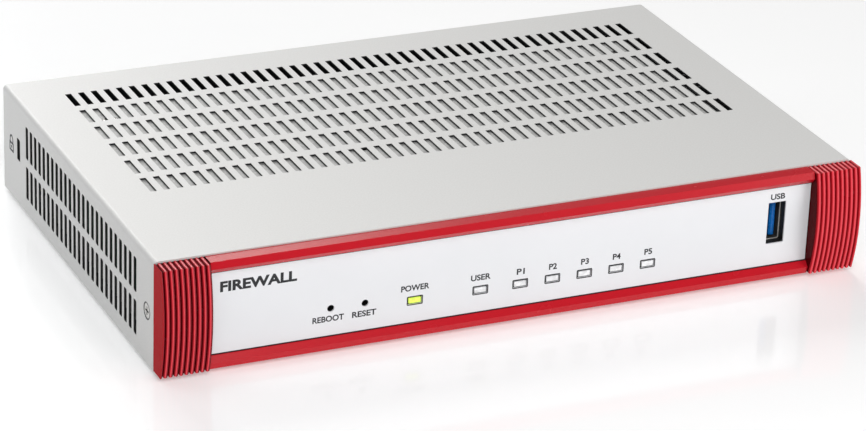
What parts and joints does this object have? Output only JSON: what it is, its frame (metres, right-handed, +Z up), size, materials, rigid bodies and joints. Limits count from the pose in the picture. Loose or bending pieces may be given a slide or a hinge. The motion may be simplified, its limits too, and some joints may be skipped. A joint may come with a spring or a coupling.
{
  "type": "firewall appliance",
  "caption": "Low desktop network firewall in a slotted grey steel case with a red ribbed front bezel, white indicator panel, and network, console and power sockets at the back.",
  "frame": {"origin": "on the table under the middle of the box around the whole appliance", "axes": "+X to the right seen from the front, +Y from the front bezel to the back, +Z up"},
  "size_m": [0.216, 0.143, 0.034],
  "materials": {
    "case_paint": "fine light grey powder coat on folded steel",
    "bezel_red": "semi-gloss red moulding",
    "panel_white": "satin white printed panel sheet",
    "backing_black": "matt black moulding",
    "guide_lit": "clear plastic, lit yellow-green",
    "guide_clear": "frosted clear plastic",
    "led_lit": "lit light-emitting diode",
    "led_off": "unlit light-emitting diode",
    "rubber_dark": "matt dark rubber",
    "screw_steel": "nickel plated screws",
    "post_brass": "nickel washed brass posts",
    "board_green": "green solder mask on glass fibre",
    "chip_black": "moulded black packages",
    "crystal_can": "small metal cans",
    "capacitor_can": "bare aluminium cans",
    "sheet_film": "thin insulating film",
    "spreader_aluminium": "light matt aluminium plate",
    "block_aluminium": "machined aluminium",
    "pad_grey": "soft thermal pad",
    "socket_black": "matt black connector plastic",
    "shield_steel": "thin bright shield metal",
    "contact_gold": "gold plated contact wires",
    "usb_blue": "blue connector tongue",
    "pin_nickel": "nickel plated",
    "button_black": "black moulded button",
    "stem_white": "white moulded stem"
  },
  "bodies": {
    "root": {"base_tray": "case_paint", "battery_holder": "socket_black", "board_screws": "screw_steel", "board_standoffs": "post_brass", "clock_battery": "pin_nickel", "clock_crystals": "crystal_can", "console_port_contacts": "contact_gold", "console_port_housing": "socket_black", "console_port_shield": "shield_steel", "front_bezel": "bezel_red", "front_panel": "panel_white", "heat_block": "block_aluminium", "heat_spreader": "spreader_aluminium", "input_capacitors": "capacitor_can", "insulating_sheet": "sheet_film", "lan_port_contacts": "contact_gold", "lan_port_housing": "socket_black", "lan_port_shield": "shield_steel", "lan_transformers": "chip_black", "main_board": "board_green", "memory_chips": "chip_black", "network_switch_chip": "chip_black", "panel_backing": "backing_black", "power_inductors": "chip_black", "power_inlet": "socket_black", "power_inlet_pin": "pin_nickel", "power_led": "led_lit", "power_light_guide": "guide_lit", "power_switch": "socket_black", "processor": "chip_black", "rear_screws": "screw_steel", "reboot_switch": "socket_black", "reset_switch": "socket_black", "rubber_feet": "rubber_dark", "side_screws": "screw_steel", "spreader_pillars": "post_brass", "spreader_screws": "screw_steel", "status_leds": "led_off", "status_light_guides": "guide_clear", "storage_chip": "chip_black", "thermal_pad": "pad_grey", "top_cover": "case_paint", "usb_contacts": "contact_gold", "usb_insulator": "usb_blue", "usb_shell": "shield_steel", "usb_stand": "socket_black", "voltage_regulators": "chip_black"},
    "reboot_button": {"reboot_stem": "button_black"},
    "reset_button": {"reset_stem": "button_black"},
    "power_button": {"power_button": "button_black", "power_switch_stem": "stem_white"}
  },
  "joints": [
    {"name": "reboot_press", "type": "slide", "parent": "root", "child": "reboot_button", "axis": [0, 1, 0], "range_m": [0, 0.00025], "stiffness_N_per_m": 400},
    {"name": "reset_press", "type": "slide", "parent": "root", "child": "reset_button", "axis": [0, 1, 0], "range_m": [0, 0.00025], "stiffness_N_per_m": 400},
    {"name": "power_latch", "type": "slide", "parent": "root", "child": "power_button", "axis": [0, 1, 0], "range_m": [0, 0.0025]}
  ]
}
